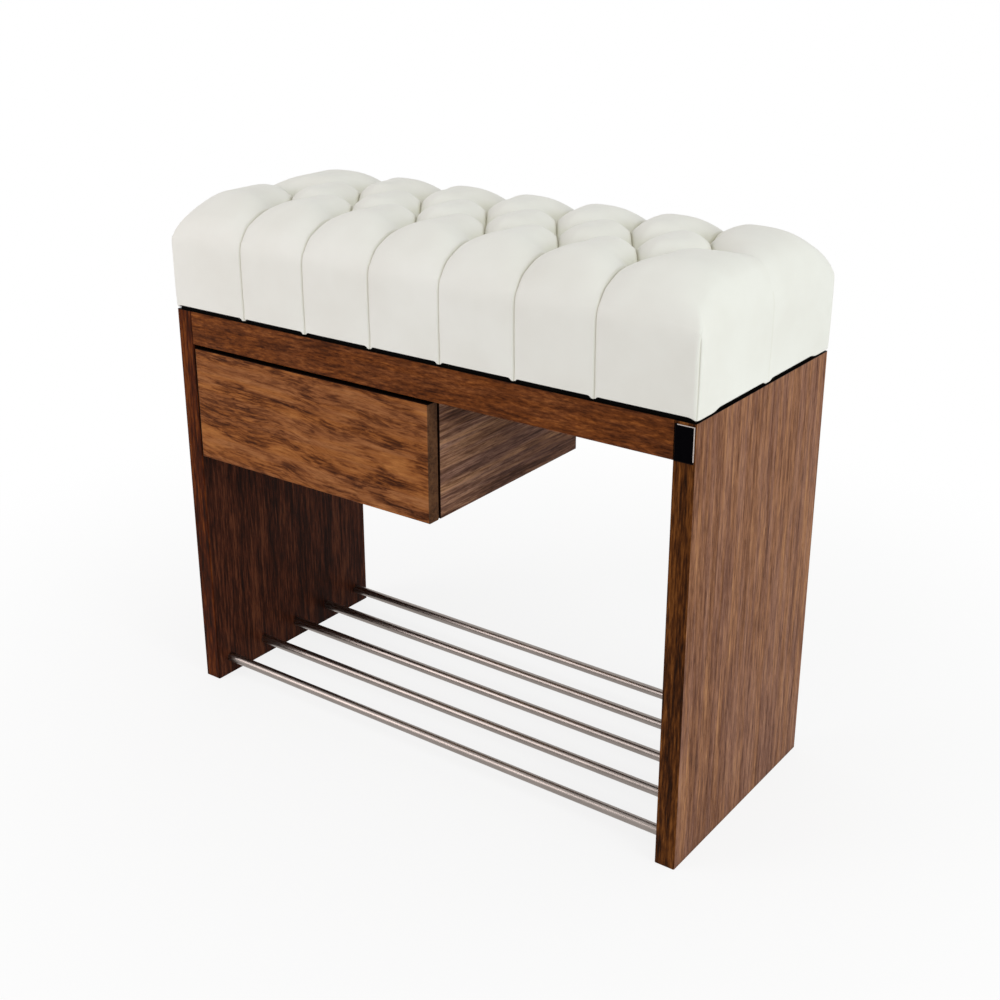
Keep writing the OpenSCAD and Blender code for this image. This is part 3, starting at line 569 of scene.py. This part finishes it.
def rounded(x, y):
    """Rounds the upright corners in plan."""
    u = np.clip(1 - (HALF_L - np.abs(x)) / CORNER_R, 0, 1)
    v = np.clip(1 - (HALF_W - np.abs(y)) / CORNER_R, 0, 1)
    inside = (u > 0) & (v > 0)
    new_x = np.sign(x) * (HALF_L - CORNER_R + CORNER_R * u * np.sqrt(1 - v * v / 2))
    new_y = np.sign(y) * (HALF_W - CORNER_R + CORNER_R * v * np.sqrt(1 - u * u / 2))
    return np.where(inside, new_x, x), np.where(inside, new_y, y)


top, top_crease, top_depth, top_x, top_y = top_points()

# The rim of the net, counter-clockwise from above, and the way that it faces
last = len(rows) - 1
front = [starts[0] + k for k in range(counts[0])]
right = [starts[j] + counts[j] - 1 for j in range(1, last)]
back = [starts[last] + k for k in range(counts[last] - 1, -1, -1)]
left = [starts[j] for j in range(last - 1, 0, -1)]
rim = np.array(front + right + back + left)
rim_x, rim_y = net_x[rim], net_y[rim]
on_end = np.abs(np.abs(net[rim, 0]) - HALF_L) < 1e-6
on_side = np.abs(np.abs(net[rim, 1]) - HALF_W) < 1e-6
corner = on_end & on_side

# The bend below the net's rim, as shares of its height, and then the upright
# sides, as heights over the lower edge and insets from the outline
BEND_SHARES = [0.93, 0.84, 0.73, 0.6, 0.45, 0.3, 0.15]
SIDE = [(SHOULDER, 0.0), (59, 0.0), (52, 0.0), (45, 0.0), (38, 0.03), (31, 0.1),
        (25, 0.2), (19, 0.36), (14, 0.54), (10, 0.72), (7, 0.85), (5, 0.95), (3.2, 1.04),
        (2.2, 1.14), (1.5, 1.3), (1.1, 1.55), (0.9, 1.9)]
# The dark lining, from the cover's edge in to the base and up round it. All but its
# first ring is level
LINING = [(0.9, 2.05), (0.0, 4.7), (12.3, 4.7)]


def ring_points(z, inset, up=0.0):
    """One ring of the upright sides. z, inset and up, the share of a fold's depth that
    goes downwards, are numbers or one value a point."""
    z, inset = z + np.zeros_like(rim_x), inset + np.zeros_like(rim_x)
    across = np.sqrt(1 - up ** 2)
    gap_x, gap_y = HALF_L - np.abs(rim_x), HALF_W - np.abs(rim_y)
    ex = np.where(on_end, inset, plan_inset(gap_x, inset))
    ey = np.where(on_side, inset, plan_inset(gap_y, inset))
    x, y = np.sign(rim_x) * (HALF_L - ex), np.sign(rim_y) * (HALF_W - ey)
    low = np.clip(z / 12, 0, 1)
    crease, lip, cut = np.zeros_like(x), np.zeros_like(x), np.zeros_like(x)
    for px in pleat_xs:
        gap = np.abs(x - px)
        cut = np.maximum(cut, on_side * PLEAT * (0.2 + 0.8 * low) * bowl(gap / PLEAT_R))
        crease = np.maximum(crease, on_side * crease_at(gap))
        lip = np.maximum(lip, on_side * (x < px) * lip_at(gap))
    gap = np.abs(y)
    cut = np.maximum(cut, on_end * 0.5 * low * bowl(gap / 26))
    crease_end = on_end * np.exp(-(gap / END_CREASE_R) ** 2) * 0.35
    cut = cut + crease * CREASE + crease_end * END_CREASE - lip * LIP
    x = x - np.where(on_end & ~corner, np.sign(x) * cut * across, 0)
    y = y - np.where(on_side & ~corner, np.sign(y) * cut * across, 0)
    z = z - np.where(corner, 0, cut * up)
    x, y = rounded(x, y)
    # the seam up the corner
    along = np.where(on_side, gap_x, gap_y)
    seam = np.exp(-(along / SEAM_R) ** 2) * np.clip((SHOULDER + 8 - z) / 10, 0, 1)
    x, y = x - np.sign(x) * seam * SEAM, y - np.sign(y) * seam * SEAM
    # the lower edge hangs a little at corners and pleats, and on the ends in their
    # middle and outer thirds
    hang = np.where(on_side, 0.9 * np.exp(-(gap_x / HANG_CORNER) ** 2),
                    np.exp(-(gap_y / HANG_THIRD) ** 12)
                    * (1 - 0.1 * np.exp(-(gap_y / HANG_CORNER) ** 2)))
    hang = np.maximum(hang, on_end * np.exp(-(y / HANG_MIDDLE) ** 4))
    for px in pleat_xs:
        hang = np.maximum(hang, on_side * np.exp(-((x - px + 1.0) / HANG_PLEAT) ** 4))
    full_lift = np.where(on_side, EDGE_LIFT, END_LIFT)
    lift_up = np.clip(1 - z / 9, 0, 1) * ((1 - hang) * full_lift - DROP * hang)
    points = np.column_stack([x, y, z + lift_up])
    return points, np.maximum(np.maximum(crease, crease_end), seam * 0.9)


def stitch(low, high):
    """Triangles between two rows of net points, each sorted by x."""
    faces, i, j = [], 0, 0
    while i < len(low) - 1 or j < len(high) - 1:
        if j == len(high) - 1 or (i < len(low) - 1 and net[low[i + 1], 0] <= net[high[j + 1], 0]):
            faces.append((low[i], low[i + 1], high[j]))
            i += 1
        else:
            faces.append((low[i], high[j + 1], high[j]))
            j += 1
    return faces


def build_cushion():
    n_rim = len(rim)
    none = np.zeros(n_rim)
    # edge and deep carry the painted shade of the cover's creases, lips, seams and folds
    parts, edge, deep = [top], [top_crease], [np.clip((top_depth - 5) / 20, 0, 1)]
    flat_x, flat_y = top_x[rim], top_y[rim]
    rim_bend = knee(round_inset(HALF_L - np.abs(flat_x), HALF_W - np.abs(flat_y)))
    rim_rise = dome(flat_x, flat_y) - SHOULDER
    rings = []
    for share in BEND_SHARES:
        inset = knee_inset(share * rim_bend)
        steep = KNEE ** 2 * (1 - inset / KNEE_R) / (KNEE_R * share * rim_bend)
        rings.append((SHOULDER + share * rim_rise, inset, 1 / np.sqrt(1 + steep ** 2)))
    rings += [(z, inset, 0.0) for z, inset in SIDE]
    for z, inset, up in rings:
        p, c = ring_points(z, inset, up)
        parts.append(p)
        edge.append(c)
        deep.append(none)
    for k, (z, inset) in enumerate(LINING):
        p, c = ring_points(z, inset)
        if k:
            p[:, 2] = z
        parts.append(p)
        edge.append(none)
        deep.append(none)
    points = np.concatenate(parts)
    points[:, 2] += SEAT_Z
    lines = [range(s, s + n) for s, n in zip(starts, counts)]
    faces = [f for low, high in zip(lines, lines[1:]) for f in stitch(low, high)]
    prev = list(rim)
    base = len(top)
    for r in range(len(parts) - 1):
        if r == len(rings):
            cover_faces = len(faces)
        cur = [base + r * n_rim + i for i in range(n_rim)]
        for i in range(n_rim):
            k = (i + 1) % n_rim
            faces.append((prev[k], prev[i], cur[i], cur[k]))
        prev = cur
    faces.append(tuple(reversed(prev)))
    mesh = bpy.data.meshes.new("tufted_cushion")
    mesh.from_pydata((points * MM).tolist(), [], faces)
    for name, values in (("fold_edge", edge), ("fold_deep", deep)):
        mesh.attributes.new(name, "FLOAT", "POINT").data.foreach_set(
            "value", np.concatenate(values).astype(np.float32))
    mesh.polygons.foreach_set("use_smooth", [True] * len(faces))
    mesh.polygons.foreach_set("material_index", [int(i >= cover_faces) for i in range(len(faces))])
    mesh.materials.append(leatherette())
    mesh.materials.append(grainy("cover_lining", (5, 4, 4), (10, 9, 8), 0.95, 0.0007,
                                 Specular_IOR_Level=0.05))
    obj = bpy.data.objects.new("tufted_cushion", mesh)
    bpy.context.scene.collection.objects.link(obj)
    return obj


cushion = build_cushion()
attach(cushion, "carcase")
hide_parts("cushion")


# -------------------------------------------------------------------- stage

def stage_floor():
    mesh = bpy.data.meshes.new("floor")
    radius, n = 9.0, 96
    below = -0.3 * MM
    turns = [2 * math.pi * i / n for i in range(n)]
    ring = [(radius * math.cos(t), radius * math.sin(t), below) for t in turns]
    mesh.from_pydata(ring, [], [tuple(range(n))])
    floor = bpy.data.objects.new("floor", mesh)
    bpy.context.scene.collection.objects.link(floor)
    m = Shade("pale_floor", Roughness=0.9, Specular_IOR_Level=0.1, Base_Color=(0.88, 0.88, 0.875))
    parts = m.split(m.place())
    squares = [m.math("POWER", parts[i], 2.0) for i in (0, 1)]
    far = m.math("SQRT", m.math("ADD", *squares))
    fade = m.span(far, 0.3, 1.0, 0.84, 1.0)
    white = m.node("ShaderNodeEmission", {"Color": (1, 1, 1, 1), "Strength": 1.0}).outputs[0]
    path = m.node("ShaderNodeLightPath").outputs
    seen = m.math("MAXIMUM", path["Is Camera Ray"], path["Is Glossy Ray"])
    shown = m.math("MULTIPLY", seen, fade)
    out = m.tree.nodes["Material Output"]
    mixed = m.node("ShaderNodeMixShader", {0: shown, 1: m.bsdf.outputs[0], 2: white}).outputs[0]
    m.tree.links.new(mixed, out.inputs["Surface"])
    mesh.materials.append(m.mat)


def stage_world(ambient):
    """Light of strength ambient, which is seen and reflected as white."""
    world = bpy.data.worlds.new("studio")
    bpy.context.scene.world = world
    world.use_nodes = True
    tree = world.node_tree
    back = tree.nodes["Background"]
    path = tree.nodes.new("ShaderNodeLightPath").outputs
    shown = path["Is Camera Ray"]
    for ray in ("Is Glossy Ray", "Is Transmission Ray"):
        either = tree.nodes.new("ShaderNodeMath")
        either.operation = "MAXIMUM"
        tree.links.new(shown, either.inputs[0])
        tree.links.new(path[ray], either.inputs[1])
        shown = either.outputs[0]
    power = tree.nodes.new("ShaderNodeMapRange")
    power.inputs[3].default_value, power.inputs[4].default_value = ambient, 1.0
    tree.links.new(shown, power.inputs[0])
    tree.links.new(power.outputs[0], back.inputs["Strength"])
    back.inputs["Color"].default_value = (1, 1, 1, 1)


def lamp(name, place, target, size, power, tint=(1, 1, 1)):
    data = bpy.data.lights.new(name, "AREA")
    data.shape, data.size, data.energy, data.color = "DISK", size, power, tint
    obj = bpy.data.objects.new(name, data)
    obj.location = place
    obj.rotation_euler = (Vector(target) - Vector(place)).to_track_quat("-Z", "Y").to_euler()
    obj.visible_camera = False
    bpy.context.scene.collection.objects.link(obj)


def stage_camera():
    """The camera fitted to the photo, with less shift of the lens than the photo has."""
    sensor, focal = 36, 1.43056         # width in mm, and focal length in widths
    down, turn = 0.36107, 0.62858       # radians
    data = bpy.data.cameras.new("camera")
    data.sensor_width = sensor
    data.lens = sensor * focal
    data.shift_y = -0.05
    cam = bpy.data.objects.new("camera", data)
    cam.location = (0.80111, -1.07898, 0.80503)
    cam.rotation_euler = (math.pi / 2 - down, 0, turn)
    bpy.context.scene.collection.objects.link(cam)
    bpy.context.scene.camera = cam


stage_floor()
stage_world(0.50)
lamp("key", (2.3, -0.45, 1.2), (0, 0, 0.35), 1.3, 23.5, (0.935, 1.0, 0.99))
lamp("fill", (-1.1, -1.4, 1.0), (0, 0, 0.35), 1.1, 10.2, (1.0, 0.945, 0.965))
lamp("overhead", (0, 0.2, 2.4), (0, 0, 0.4), 1.8, 5.4, (1.0, 1.0, 0.96))
stage_camera()
bpy.context.scene.view_settings.view_transform = "Standard"
